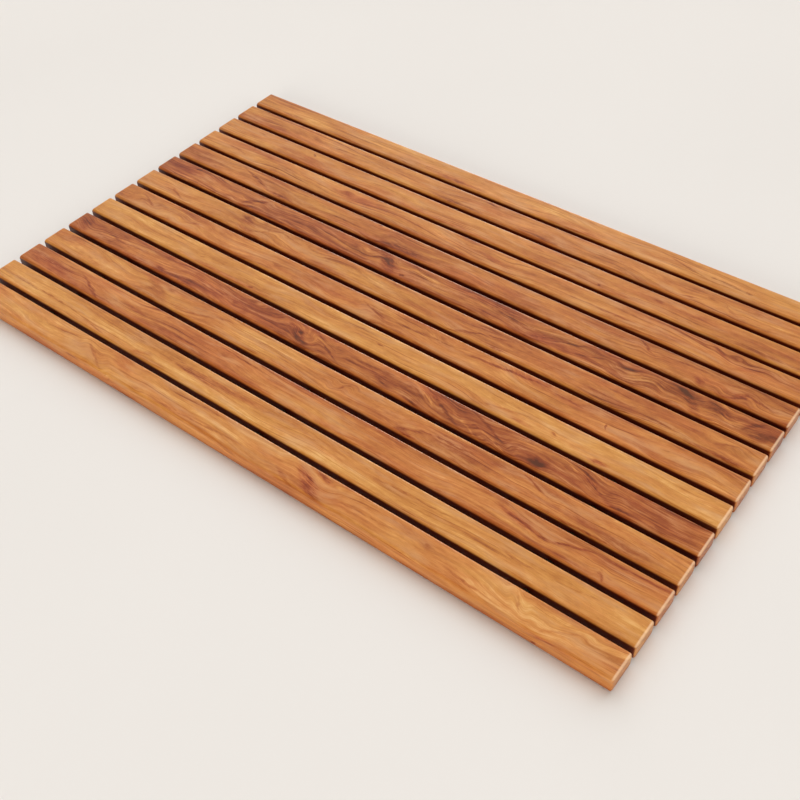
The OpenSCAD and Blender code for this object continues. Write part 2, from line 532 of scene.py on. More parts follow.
class Graph:
    """Builds a material's node tree. Every value may be a number, a tuple or another node's
    output socket."""

    def __init__(self, name):
        self.material = bpy.data.materials.new(name)
        self.material.use_nodes = True
        self.tree = self.material.node_tree
        self.shader = self.tree.nodes["Principled BSDF"]

    def feed(self, node, inputs):
        for key, value in inputs.items():
            if isinstance(value, bpy.types.NodeSocket):
                self.tree.links.new(value, node.inputs[key])
            else:
                node.inputs[key].default_value = value

    def node(self, kind, inputs, **settings):
        made = self.tree.nodes.new(kind)
        for key, value in settings.items():
            setattr(made, key, value)
        self.feed(made, inputs)
        return made

    def math(self, operation, *values, clamp=False):
        inputs = dict(enumerate(values))
        return self.node("ShaderNodeMath", inputs, operation=operation, use_clamp=clamp).outputs[0]

    def add(self, a, b):
        return self.math("ADD", a, b)

    def times(self, a, b):
        return self.math("MULTIPLY", a, b)

    def plus_times(self, a, b, c):
        """a * b + c"""
        return self.math("MULTIPLY_ADD", a, b, c)

    def swing(self, value, share, base):
        """base, moved by share times value's distance from its middle, which is 0.5"""
        return self.plus_times(value, share, self.add(base, -0.5 * share))

    def one_minus(self, value):
        return self.math("SUBTRACT", 1.0, value)

    def ease(self, value, low, high):
        """0 below low and 1 above high, with a smooth turn between them."""
        inputs = {"Value": value, "From Min": low, "From Max": high}
        made = self.node("ShaderNodeMapRange", inputs, interpolation_type="SMOOTHSTEP")
        return made.outputs["Result"]

    def point(self, x, y, z):
        return self.node("ShaderNodeCombineXYZ", {0: x, 1: y, 2: z}).outputs[0]

    def parts(self, vector):
        return tuple(self.node("ShaderNodeSeparateXYZ", {0: vector}).outputs)

    def mapping(self, kind, vector, location, scale, turn=0.0):
        inputs = {"Vector": vector, "Location": location, "Rotation": (0, 0, turn), "Scale": scale}
        return self.node("ShaderNodeMapping", inputs, vector_type=kind).outputs[0]

    def millimetres(self, offset=(0.0, 0.0, 0.0)):
        """Place on the resting object in millimetres, counted from offset in metres."""
        place = self.node("ShaderNodeTexCoord", {}).outputs["Object"]
        return self.mapping("TEXTURE", place, offset, (MM, MM, MM))

    def spot(self, vector, x, y, half_len, half_w, tilt_deg=0.0):
        """1 in the middle of an ellipse, falling smoothly to 0 at its rim."""
        seen = self.local(vector, x, y, half_len, half_w, tilt_deg)
        made = self.node("ShaderNodeTexGradient", {"Vector": seen}, gradient_type="SPHERICAL")
        return self.ease(made.outputs["Fac"], 0.0, FADE_FULL)

    def local(self, vector, x, y, half_len, half_w, tilt_deg=0.0):
        """vector seen from an ellipse's own middle, turn and half sizes."""
        turn = math.radians(tilt_deg)
        return self.mapping("TEXTURE", vector, (x, y, 0), (half_len, half_w, 1), turn)

    def layer(self, vector, layer, seed=0.0):
        """A layer's noise, from 0 to 1."""
        location = tuple((seed + layer.apart) * step for step in SEED_STEPS)
        scale = tuple(1 / size for size in layer.sizes)
        inputs = {
            "Vector": self.mapping("POINT", vector, location, scale),
            "Scale": 1.0,
            "Detail": layer.detail,
            "Roughness": layer.roughness,
            "Distortion": layer.distortion,
        }
        made = self.node("ShaderNodeTexNoise", inputs, noise_dimensions="3D")
        return made.outputs["Fac"]

    def mask(self, vector, layer, seed):
        """A layer's noise, hardened between its two edges."""
        return self.ease(self.layer(vector, layer, seed), *layer.edges)

    def ramp(self, value, stops):
        """Colour of a value from 0 to 1 on a row of (place, colour) stops."""
        made = self.node("ShaderNodeValToRGB", {"Fac": value})
        elements = made.color_ramp.elements
        for k, (place, colour) in enumerate(stops):
            element = elements[k] if k < 2 else elements.new(place)
            element.position = place
            element.color = linear(colour)
        return made.outputs["Color"]

    def mix(self, share, a, b, blend="MIX"):
        inputs = {0: share, 6: a, 7: b}     # 6 and 7 are the node's two colour inputs
        made = self.node("ShaderNodeMix", inputs, data_type="RGBA", blend_type=blend)
        return made.outputs[2]

    def paint_shade(self, share, colour, tint):
        """colour, darkened by share towards its product with a tint, as painted shade"""
        return self.mix(share, colour, self.mix(1.0, colour, linear(tint), "MULTIPLY"))

    def bump(self, height, distance, strength):
        inputs = {"Height": height, "Distance": distance, "Strength": strength}
        return self.node("ShaderNodeBump", inputs).outputs["Normal"]

    def finish(self, colour, roughness, normal=None, **fixed):
        """Feeds the shader. fixed holds the inputs that are the same all over."""
        inputs = {"Base Color": colour, "Roughness": roughness}
        if normal is not None:
            inputs["Normal"] = normal
        for key, value in fixed.items():
            inputs[SHADER_INPUTS[key]] = value
        self.feed(self.shader, inputs)
        return self.material


# -------------------- teak

GOLDEN_TEAK = [
    (0.00, "#5C3012"), (0.20, "#843E10"), (0.40, "#A85F24"),
    (0.60, "#C47D34"), (0.80, "#D89648"), (1.00, "#ECB66E"),
]
RED_TEAK = [
    (0.00, "#5A2812"), (0.20, "#803410"), (0.40, "#A24C20"),
    (0.60, "#BE6830"), (0.80, "#D48242"), (1.00, "#E6A462"),
]
PALE_WOOD = "#CE9869"
# tint of the painted shade low on the slats, near the floor
FLOOR_SHADE_TINT = "#C07A58"
PORE_TINT = "#5A2E14"
# tint of the painted shade on the slat sides inside the gaps
GAP_SHADE_TINT = "#8A4A2C"
END_GRAIN_WOOD = "#9A5C30"
# colour of the painted highlight on the top edges of the slats' ends
END_HIGHLIGHT_COLOUR = "#FFDDB4"

# The wood's layers of noise, with sizes along the grain, across it and down
SWAY = Layer((26, 9, 9), 0.3, 3.0, 0.6)
LIFT = Layer((30, 11, 11), 0.7, 3.0, 0.6)
WANDER = Layer((150, 50, 50), 0.0, 1.0)
RIPPLE = Layer((42, 11, 12), 1.1)
BANDS = Layer((150, 5.0, 9), 2.0, 4.0, 0.58, 0.2)
STREAKS = Layer((48, 1.4, 3), 3.0, 4.0, 0.62, 0.2, edges=(0.36, 0.64))
FIBRE = Layer((6.5, 0.36, 0.6), 4.0, 2.0, 0.6)
PORES = Layer((4.5, 0.20, 0.35), 5.0, 1.0, edges=(0.66, 0.78))
PATCH = Layer((95, 22, 22), 6.0)
BLUSH = Layer((110, 13, 20), 7.0, 3.0)
MOTTLE = Layer((17, 6, 9), 8.0, 3.0, 0.6)
STRENGTH = Layer((80, 18, 18), 9.0, edges=(0.32, 0.66))
PALE = Layer((46, 8, 12), 10.0, 3.0, edges=(0.46, 0.74))
LINES = Layer((130, 1.9, 4), 11.0, 3.0, edges=(0.57, 0.69))
FLECKS = Layer((9, 1.5, 4), 12.0, 3.0, 0.65, edges=(0.38, 0.62))
BURL = Layer((24, 4, 8), 13.0, 3.0, 0.6, 0.5, edges=(0.42, 0.62))
FIRST_SEED = 1.0
SEED_PER_SLAT = 2.618

# How far a layer shifts places in the wood, in mm, or its share of the wood's tone or redness
SWAY_ALONG = 18.0
SWAY_ACROSS = 6.5
WANDER_PER_WAVE = 4.0
RIPPLE_PER_FIGURE = 4.0
BAND_SHARE = (0.85, 0.35)       # per unit of figure: where the grain is strong, and everywhere
STREAK_SHARE = 0.52             # per unit of figure
LINE_SHARE = (-0.20, -0.06)     # where the grain is strong, and everywhere
MOTTLE_SHARE = 0.42
FIBRE_SHARE = 0.30
PATCH_SHARE = 0.60
BLUSH_SHARE = 1.9
BURL_FIGURE = 0.9               # figure above which a slat is burled where its grain is strong
BURL_PER_FIGURE = 0.5
TONE_LIFT = 0.01                # added to every slat's tone
PALE_SHARE = 0.46
PALE_TONES = (0.34, 0.62)       # tones between which the pale patches come in
PORE_SHARE = 0.30

# Marks and knots: how they darken the wood and turn its grain
MARK_DARKNESS = 0.85
MARK_REDNESS = 0.8
MARK_SPREAD = 1.2               # a mark's soft size over its stated size
MARK_BLUR = 0.3                 # mm added to its half width
MARK_GRAIN = (0.7, 0.9, 0.1)    # shares of streaks and flecks in a mark, and of plain darkness
KNOT_GRAIN = (0.45, 0.45)       # shares of streaks and of plain darkness in a knot
KnotZone = namedtuple("KnotZone", "along across dark")  # sizes in knot radii
HEART = KnotZone(1.1, 0.9, 0.12)
RIM = KnotZone(2.4, 1.8, 0.30)
HALO = KnotZone(6.0, 3.0, 0.12)
KNOT_ZONES = (HEART, RIM, HALO)
KNOT_REACH = (5.5, 2.4)         # knot radii along and across in which the grain moves aside
KNOT_PULL = -0.6
TURN_SHARE = 0.45               # how nearly the grain lines up with a mark that lies aslant
LEAST_TURN = 10                 # degrees of tilt from which a mark turns the grain
TURN_REACH = (1.8, 3.0)         # mark sizes along and across in which the grain turns
TURN_BLUR = 7.0                 # mm added to the reach across
DARKEST_MARK = 0.40             # the most that marks on top of each other count for
DARKEST_SUM = 0.46              # the most that marks and knots darken a place together
DARKEST_BLEND = 0.25            # softness of that limit

# Where a slat's surface differs: mm along it from its middle, out from its middle line, or down
# from its top. Each pair is where the change begins and where it is full.
GAP_SHADE_SIDE = (12.6, 15.4)         # painted shade on the sides that face a gap
GAP_SHADE_DEPTH = (0.9, 3.4)
FLOOR_SHADE_DEPTH = (9.0, 17.0)        # painted shade darkens the wood low down, near the floor and underneath
FLOOR_SHADE_SHARE = 0.55
END_GRAIN = (398.2, 399.6)
END_GRAIN_SHARE = 0.22
END_HIGHLIGHT_PLACE = (397.4, 398.8)       # a painted highlight along the top edge of a slat's end
END_HIGHLIGHT_DEPTH = (0.9, 2.6)
END_HIGHLIGHT_SHARE = 0.5

ROUGHNESS = 0.29
STREAK_ROUGHNESS = 0.16
PORE_ROUGHNESS = 0.12
WOOD_SPECULAR = 0.34
PORE_RELIEF = -0.8
FIBRE_RELIEF = 0.5
STREAK_RELIEF = 0.35
GRAIN_DEPTH = 0.10 * MM
GRAIN_BUMP = 0.6

# A slat's wood. tone is its lightness and red its redness, from 0 to 1. wave is how far the grain
# wanders, in mm, and figure is how strong it is. Knots are (x, y, radius). Marks are soft streaks
# and patches: (x, y, half length, half width, tilt in degrees, dark, red), where a negative value
# lightens or yellows. x and y are in mm from the middle of the slat, and y goes on down the front
# face from -15.
Wood = namedtuple("Wood", "tone red wave figure knots marks")

WOODS = [
    Wood(0.68, 0.35, 9, 0.8, [(-133, -12, 1.9), (211, 2, 2.0)], [
        (-262, 3, 32, 1.6, 10, 0.22, 0.2), (-205, -3, 26, 2.2, -33, 0.22, 0.2),
        (-169, 5, 24, 7, -20, 0.06, 0.4), (-60, -9, 75, 1.2, 3, 0.22, 0.1),
        (-55, 9, 70, 1.1, 2, 0.15, 0.1), (83, -3, 30, 7, -33, 0.32, 0.6),
        (92, 9, 18, 3, -10, 0.28, 0.5), (60, -10, 20, 2.6, -25, 0.2, 0.2),
        (155, -1, 48, 1.1, 4, 0.17, 0.1), (262, -8, 34, 1.3, -6, 0.32, 0.2),
        (326, -1, 24, 9, 0, -0.08, -0.1), (303, 2, 14, 1.3, -50, 0.18, 0.2),
        (345, -3, 22, 1.2, 30, 0.16, 0.2), (336, -18, 20, 2.8, 12, 0.16, 0.5),
        (329, -30, 3.5, 1.0, 0, 0.8, 0.6), (-290, -27, 95, 5, 0, 0.05, 0.35),
        (350, 9, 60, 5, 0, -0.08, -0.2), (-164, -29, 4, 0.9, 0, 0.6, 0.4),
    ]),
    Wood(0.72, 0.12, 6, 0.7, [], [
        (-330, -4, 90, 1.2, 0, 0.30, 0.1), (-236, -10, 30, 1.3, -7, 0.28, 0.2),
        (-168, -8, 15, 2.2, 12, 0.2, 0.5), (-80, 4, 100, 5.5, 0, 0.20, 0.45),
        (-95, -1, 62, 1.2, -3, 0.22, 0.2), (75, 7, 90, 4.5, 0, 0.15, 0.4),
        (175, 3, 72, 1.3, 3, 0.26, 0.2), (275, 1, 42, 1.2, -4, 0.22, 0.2),
        (336, 3, 30, 1.1, 9, 0.2, 0.1), (206, -8, 65, 5, 0, -0.10, -0.3),
        (-330, 8, 80, 4, 0, -0.05, -0.2),
    ]),
    Wood(0.575, 0.50, 8, 0.8, [(-97, 3.5, 2.4), (238, 8, 2.4)], [
        (-370, 0, 45, 15, 0, 0.10, 0.35), (-292, -4, 26, 2, -23, 0.32, 0.3),
        (-360, -2, 46, 1.1, 3, 0.16, 0.1), (-225, -2, 20, 2.8, -5, 0.24, 0.3),
        (-136, -6, 30, 1.1, -1, 0.32, 0.1), (-67, 8, 58, 1.1, -3, 0.30, 0.1),
        (-215, 8, 62, 6, 0, -0.07, -0.1), (100, 0, 130, 17, 0, -0.02, 0.15),
        (262, -1, 34, 4, -12, 0.30, 0.5), (292, -4, 16, 2.4, 12, 0.24, 0.4),
        (312, 3, 24, 1.6, 17, 0.32, 0.4), (365, 9, 38, 1.5, 1, 0.25, 0.4),
        (346, -9, 9, 1.8, -45, 0.28, 0.3), (-290, 9, 50, 2, 3, 0.12, 0.3),
    ]),
    Wood(0.63, 0.30, 10, 0.9, [(-211, 6, 1.7), (-236, -4, 1.9)], [
        (-340, -5, 32, 1.3, -8, 0.17, 0.1), (-228, 0, 27, 7, -25, 0.18, 0.4),
        (-160, -4, 30, 1.7, 18, 0.18, 0.1), (-135, 5, 27, 1.3, 8, 0.14, 0.1),
        (-65, 0, 75, 13, 0, -0.10, -0.3), (190, 0, 240, 22, 0, 0.10, 0.30),
        (30, 0, 15, 1.4, 45, 0.18, 0.1), (115, -9, 20, 2.3, 20, 0.28, 0.3),
        (150, 1, 36, 1.4, 4, 0.25, 0.3), (120, -13, 12, 1.8, 0, 0.32, 0.5),
        (250, 5, 22, 1.3, -20, 0.22, 0.2), (297, -14, 55, 1.8, 0, 0.28, 0.3),
    ]),
    Wood(0.445, 0.56, 12, 1.15, [(-142, -4, 1.7), (235, -6, 3.4)], [
        (-384, -2, 16, 9, -35, 0.22, 0.2), (-334, 0, 24, 1.4, -5, 0.22, 0.1),
        (-250, -9, 7, 3.4, 0, 0.35, 0.2), (-208, -11, 9, 2.8, 0, 0.30, 0.2),
        (-57, -1, 24, 4.6, -33, 0.38, 0.2), (-15, -4, 24, 1.5, -25, 0.28, 0.1),
        (58, -8, 11, 3, -20, 0.28, 0.2), (97, -12, 12, 2.4, -10, 0.34, 0.1),
        (100, 4, 32, 1.4, -28, -0.20, 0), (150, -4, 36, 1.5, -25, -0.20, 0),
        (185, -8, 32, 1.4, -20, -0.22, 0), (125, 0, 36, 2, -26, 0.28, 0.1),
        (175, 4, 32, 1.8, -22, 0.28, 0.1), (237, -9, 12, 5.5, 0, 0.34, 0.1),
        (270, 4, 26, 1.4, -22, -0.20, 0), (290, 1, 22, 3.4, -30, 0.28, 0.2),
        (320, -11, 14, 3.4, 0, 0.38, 0.1), (-30, 8, 30, 1.6, -20, 0.2, 0.1),
    ]),
    Wood(0.73, 0.05, 8, 0.7, [], [
        (-148, -11, 4.5, 2, 0, 0.45, 0.5), (-227, -3, 5, 1.4, 20, 0.28, 0.3),
        (-200, -12, 110, 3, 0, 0.10, 0.5), (21, -2, 5.5, 1.6, 0, 0.45, 0.3),
        (178, -4, 28, 1.5, 12, 0.24, 0.4), (195, -9, 18, 3.6, 0, 0.17, 0.7),
        (230, -4, 3.4, 1.6, -30, 0.4, 0.5), (281, -11, 10, 3, 10, 0.45, 0.8),
        (180, 5, 65, 1.2, -3, 0.17, 0.1), (320, 9, 85, 3.4, -2, -0.08, -0.2),
        (-4, 8, 4, 1.4, 0, 0.3, 0.2), (70, 7, 40, 5, 0, 0.05, 0.2),
    ]),
    Wood(0.60, 0.42, 9, 0.85, [(-237, 6.5, 3.6), (-147, -3, 1.8)], [
        (-355, 1, 20, 1.7, -25, 0.22, 0.2), (-318, 5, 20, 4.4, 0, -0.12, -0.1),
        (-280, -2, 20, 2.4, 25, 0.14, 0.2), (-12, -1, 24, 1.4, -18, 0.25, 0.1),
        (-5, 4, 27, 1.2, 0, 0.18, 0.1), (55, 0, 48, 1.7, 3, 0.38, 0.2),
        (145, 5, 54, 1.9, 5, 0.40, 0.3), (215, 5, 28, 1.4, -3, 0.24, 0.3),
        (45, 13, 16, 2.4, 0, 0.2, 0.5), (178, 10, 38, 3.4, 3, 0.10, 0.5),
        (264, -4, 2.0, 3.4, 0, 0.45, 0.2), (280, 15, 22, 2.2, 0, 0.22, 0.4),
    ]),
    Wood(0.595, 0.27, 10, 0.85, [(-236, 8, 2.4), (-211, 12, 1.5)], [
        (-338, -5, 18, 1.7, -20, 0.28, 0.2), (-232, 4, 14, 6.4, -20, 0.14, 0.5),
        (-200, -1, 28, 1.5, 28, 0.22, 0.1), (-165, 6, 22, 1.2, -5, 0.14, 0.1),
        (-227, -9, 16, 2.8, 0, 0.14, 0.4), (-60, 3, 75, 11, 0, -0.10, -0.3),
        (-25, -2, 42, 2.2, -8, -0.12, -0.1), (80, -9, 18, 2.3, 20, 0.28, 0.3),
        (105, 0, 30, 1.5, 15, 0.24, 0.2), (125, -11, 14, 2.4, 0, 0.32, 0.4),
        (210, 0, 180, 20, 0, 0.08, 0.30), (300, -7, 27, 1.3, -2, 0.24, 0.2),
        (365, -13, 42, 2.8, 0, 0.32, 0.4), (362, 3, 18, 1.4, 20, 0.18, 0.2),
    ]),
    Wood(0.45, 0.50, 12, 1.2, [(-46, 6, 3.2), (-100, 3, 1.9), (301, 6, 3.8)], [
        (-370, 0, 38, 16, 0, 0.04, 0.3), (-352, 9, 5, 2.4, 0, 0.34, 0.2),
        (-248, 0, 22, 3, 35, 0.34, 0.3), (-165, -6, 62, 3, 0, 0.10, 0.4),
        (-190, 6, 32, 3.4, 0, -0.12, -0.1), (-50, 0, 20, 9, -35, 0.34, 0.3),
        (-83, 4, 14, 3.4, -25, -0.18, 0.1), (-25, -9, 3, 2.4, 0, 0.45, 0.1),
        (20, 0, 28, 14, 0, -0.12, -0.2), (105, 3, 48, 9, -8, 0.28, 0.1),
        (85, -8, 17, 4.4, 0, 0.22, 0.2), (150, -7, 24, 5.4, 20, 0.24, 0.2),
        (180, 2, 26, 1.5, 20, 0.28, 0.1), (200, -4, 26, 1.5, 18, 0.22, 0.1),
        (258, -1, 22, 7, 30, -0.14, -0.2), (312, -1, 22, 5.5, -40, 0.34, 0.2),
        (338, 5, 16, 8, -30, 0.28, 0.1), (345, -4, 14, 2, -20, -0.24, 0),
        (388, -6, 15, 6.4, 35, 0.32, 0.1), (375, 4, 16, 3.2, 45, 0.24, 0.1),
        (360, 0, 11, 3, 30, -0.18, 0),
    ]),
    Wood(0.52, 0.40, 9, 0.85, [], [
        (-355, -3, 44, 1.7, 3, 0.14, 0.2), (-278, -1, 34, 2, -19, 0.34, 0.3),
        (-233, -11, 22, 3.2, 0, 0.30, 0.3), (-205, 5, 54, 7, 0, -0.08, -0.2),
        (-138, -4, 30, 1.2, 0, 0.26, 0.1), (-98, 12, 3.4, 2.4, 0, 0.36, 0.3),
        (-52, -8, 40, 5, 0, 0.30, 0.2), (-85, -3, 17, 5.4, 30, 0.18, 0.1),
        (110, 0, 120, 18, 0, -0.02, 0.15), (242, 7, 16, 1.6, -35, 0.28, 0.4),
        (285, 6, 38, 1.5, 2, 0.26, 0.3), (340, 6, 22, 1.5, 10, 0.18, 0.2),
        (306, -8, 9, 4.4, -30, 0.28, 0.4), (346, -6, 16, 3.4, 35, 0.34, 0.4),
        (365, -2, 20, 1.6, -15, 0.24, 0.2),
    ]),
    Wood(0.61, 0.35, 9, 0.75, [(-169, 4, 2.2), (323, 7, 2.6)], [
        (-340, 8, 65, 6.4, 0, 0.06, 0.4), (-275, -3, 70, 5, -5, -0.10, -0.3),
        (-345, -2, 22, 1.2, -8, 0.18, 0.2), (-150, 0, 38, 9, 0, 0.06, 0.4),
        (-60, 3, 75, 9, 0, -0.05, -0.1), (50, -5, 28, 4.6, -15, 0.17, 0.5),
        (190, -6, 32, 1.8, 0, 0.24, 0.4), (215, 4, 44, 1.2, -3, 0.15, 0.1),
        (275, 8, 30, 1.4, -10, 0.18, 0.2), (308, 5, 14, 2.4, -30, 0.17, 0.5),
        (340, -2, 22, 3.4, 25, 0.14, 0.4),
    ]),
    Wood(0.62, 0.30, 6, 0.55, [(220, 3, 1.5)], [
        (-342, 6, 9, 1.4, -10, 0.25, 0.2), (-254, 6, 4, 1.5, -20, 0.36, 0.3),
        (-255, -2, 16, 3.4, 0, 0.10, 0.4), (-50, -13, 130, 2.8, 0, 0.12, 0.4),
        (72, 5, 14, 1.8, 0, 0.18, 0.2), (260, 2, 38, 1.2, -3, 0.18, 0.2),
        (154, -9, 2.6, 1.8, 0, 0.36, 0.2), (330, -10, 65, 3.2, 0, 0.14, 0.4),
    ]),
    Wood(0.61, 0.34, 8, 0.7, [(-278, 1, 1.8), (262, 2.5, 2.0)], [
        (-367, -3, 20, 4.4, 0, 0.06, 0.5), (-228, -1, 38, 1.4, 4, 0.22, 0.2),
        (-130, -2, 54, 1.2, -3, 0.14, 0.1), (-53, -11, 42, 2.3, 0, 0.30, 0.4),
        (-16, 10, 12, 1.5, -10, 0.34, 0.3), (60, 0, 110, 16, 0, 0.04, 0.2),
        (243, -7, 18, 1.4, 15, 0.24, 0.2), (285, -4, 13, 1.2, -30, 0.18, 0.1),
    ]),
    Wood(0.68, 0.15, 8, 0.7, [], [
        (-350, 11, 55, 3.4, 0, 0.05, 0.4), (-337, -10, 24, 2.5, 0, 0.30, 0.3),
        (-85, -10, 46, 2.8, 0, 0.26, 0.5), (-110, -6, 44, 1.2, 0, 0.22, 0.2),
        (60, 3, 44, 7, 0, -0.08, -0.3), (135, 2, 38, 5.6, 10, 0.10, 0.5),
        (215, 0, 38, 1.4, -12, 0.28, 0.2), (270, -3, 27, 1.3, -4, 0.28, 0.1),
        (249, -2, 4, 1.6, 0, 0.3, 0.2), (288, -5, 5, 1.8, 0, 0.34, 0.2),
        (110, -12, 64, 2.8, 0, 0.14, 0.5),
    ]),
]


def bend_round_knots(g, place, across, knots):
    """Moves the grain aside so that it flows round each knot."""
    reach_along, reach_across = KNOT_REACH
    for x, y, radius in knots:
        seen = g.local(place, x, y, reach_along * radius, reach_across * radius)
        square = g.node("ShaderNodeVectorMath", {0: seen, 1: seen}, operation="DOT_PRODUCT")
        near = g.math("DIVIDE", 1.0, g.add(square.outputs["Value"], 1.0))
        pull = g.times(g.times(near, near), KNOT_PULL)
        across = g.plus_times(g.math("SUBTRACT", across, y), pull, across)
    return across


def turn_with_marks(g, place, along, across, marks):
    """Turns the grain to run along the marks that lie aslant."""
    reach_along, reach_across = TURN_REACH
    for x, y, half_len, half_w, tilt, dark, red in marks:
        if abs(tilt) < LEAST_TURN:
            continue
        reach = (reach_along * half_len, reach_across * half_w + TURN_BLUR)
        near = g.spot(place, x, y, *reach, tilt)
        slope = -TURN_SHARE * math.tan(math.radians(tilt))
        slant = g.times(g.math("SUBTRACT", along, x), slope)
        across = g.plus_times(near, slant, across)
    return across


def knot_cores(g, place, grain, knots):
    """Darkness of the knots' own wood: a dark heart in a ring and a soft halo."""
    total = 0.0
    for x, y, radius in knots:
        heart, ring, halo = [
            g.spot(place, x, y, zone.along * radius, zone.across * radius) for zone in KNOT_ZONES
        ]
        rim = g.times(ring, g.one_minus(ring))
        dark = g.plus_times(rim, RIM.dark, g.times(halo, HALO.dark))
        dark = g.plus_times(heart, HEART.dark, dark)
        total = g.plus_times(dark, grain, total)
    return total


def mark_sums(g, place, marks):
    """Summed darkness and redness of a slat's marks."""
    dark_sum = 0.0
    red_sum = 0.0
    for x, y, half_len, half_w, tilt, dark, red in marks:
        size = (MARK_SPREAD * half_len, MARK_SPREAD * half_w + MARK_BLUR)
        soft = g.spot(place, x, y, *size, tilt)
        dark_sum = g.plus_times(soft, dark * MARK_DARKNESS, dark_sum)
        red_sum = g.plus_times(soft, red * MARK_REDNESS, red_sum)
    return dark_sum, red_sum


def painted_gap_shade(g, i, along, out, depth):
    """1 on the sides that face a gap, where painted shade darkens the wood."""
    if i == 1:
        sideways = out
    elif i == SLAT_COUNT:
        sideways = g.times(out, -1.0)
    else:
        sideways = g.math("ABSOLUTE", out)
    side = g.ease(sideways, *GAP_SHADE_SIDE)
    deep = g.ease(depth, *GAP_SHADE_DEPTH)
    inside = g.one_minus(g.ease(g.math("ABSOLUTE", along), *END_GRAIN))
    return g.times(g.times(side, deep), inside)


def warped_place(g, solid, along, across, seed):
    """Places in the wood, gently warped, for the marks and knots."""
    sway = g.layer(solid, SWAY, seed)
    lift = g.layer(solid, LIFT, seed)
    return g.point(g.swing(sway, SWAY_ALONG, along), g.swing(lift, SWAY_ACROSS, across), 0.0)


def grain_across(g, solid, along, across, seed, wood):
    """Place across the grain: a long wander, a ripple, and the flow round knots and marks."""
    flat = g.point(along, across, 0.0)
    bent = g.swing(g.layer(solid, WANDER, seed), WANDER_PER_WAVE * wood.wave, across)
    bent = g.swing(g.layer(solid, RIPPLE, seed), RIPPLE_PER_FIGURE * wood.figure, bent)
    bent = bend_round_knots(g, flat, bent, wood.knots)
    return turn_with_marks(g, flat, along, bent, wood.marks)


def darkness(g, place, broken_place, streaks, dark_sum, seed, knots):
    """Darkness of the marks and knots, broken up by the grain."""
    streaked = g.ease(streaks, *STREAKS.edges)
    grained = g.plus_times(streaked, MARK_GRAIN[0], MARK_GRAIN[2])
    grained = g.plus_times(g.mask(broken_place, FLECKS, seed), MARK_GRAIN[1], grained)
    total = g.times(g.math("MINIMUM", dark_sum, DARKEST_MARK), grained)
    knot_grain = g.plus_times(streaked, *KNOT_GRAIN)
    total = g.add(total, knot_cores(g, place, knot_grain, knots))
    return g.math("SMOOTH_MIN", total, DARKEST_SUM, DARKEST_BLEND)


def grain_tone(g, solid, grain_place, broken_place, streaks, fibre, seed, wood):
    """Lightness of the wood without its marks and knots."""
    strength = g.mask(solid, STRENGTH, seed)
    banded = g.plus_times(strength, BAND_SHARE[0] * wood.figure, BAND_SHARE[1] * wood.figure)
    bands = g.add(g.layer(grain_place, BANDS, seed), -0.5)
    tone = g.plus_times(bands, banded, wood.tone + TONE_LIFT)
    tone = g.swing(streaks, STREAK_SHARE * wood.figure, tone)
    lined = g.plus_times(strength, *LINE_SHARE)
    tone = g.plus_times(g.mask(grain_place, LINES, seed), lined, tone)
    tone = g.swing(g.layer(broken_place, MOTTLE, seed), MOTTLE_SHARE, tone)
    tone = g.swing(fibre, FIBRE_SHARE, tone)
    tone = g.swing(g.layer(solid, PATCH, seed), PATCH_SHARE, tone)
    if wood.figure > BURL_FIGURE:
        burl = g.plus_times(g.mask(solid, BURL, seed), -1.0, 0.5)
        share = BURL_PER_FIGURE * (wood.figure - BURL_FIGURE)
        tone = g.plus_times(g.times(strength, burl), share, tone)
    return tone


def surface_colour(g, i, colour, along, out, depth, pores):
    """The wood's colour with what its surface adds: pores and end grain, with painted shade near
    the floor and in the gaps, and a painted highlight on the top edges of the ends.
    """
    end = g.math("ABSOLUTE", along)
    # painted shade low on the slat, near the floor and on its underside
    colour = g.paint_shade(g.times(g.ease(depth, *FLOOR_SHADE_DEPTH), FLOOR_SHADE_SHARE), colour, FLOOR_SHADE_TINT)
    colour = g.mix(g.times(pores, PORE_SHARE), colour, linear(PORE_TINT), "MULTIPLY")
    end_grain = g.times(g.ease(end, *END_GRAIN), END_GRAIN_SHARE)
    colour = g.mix(end_grain, colour, linear(END_GRAIN_WOOD))
    # painted highlight along the top edge of each end
    worn = g.times(g.ease(end, *END_HIGHLIGHT_PLACE), g.one_minus(g.ease(depth, *END_HIGHLIGHT_DEPTH)))
    colour = g.mix(g.times(worn, END_HIGHLIGHT_SHARE), colour, linear(END_HIGHLIGHT_COLOUR))
    # painted shade on the sides inside the gaps
    return g.paint_shade(painted_gap_shade(g, i, along, out, depth), colour, GAP_SHADE_TINT)


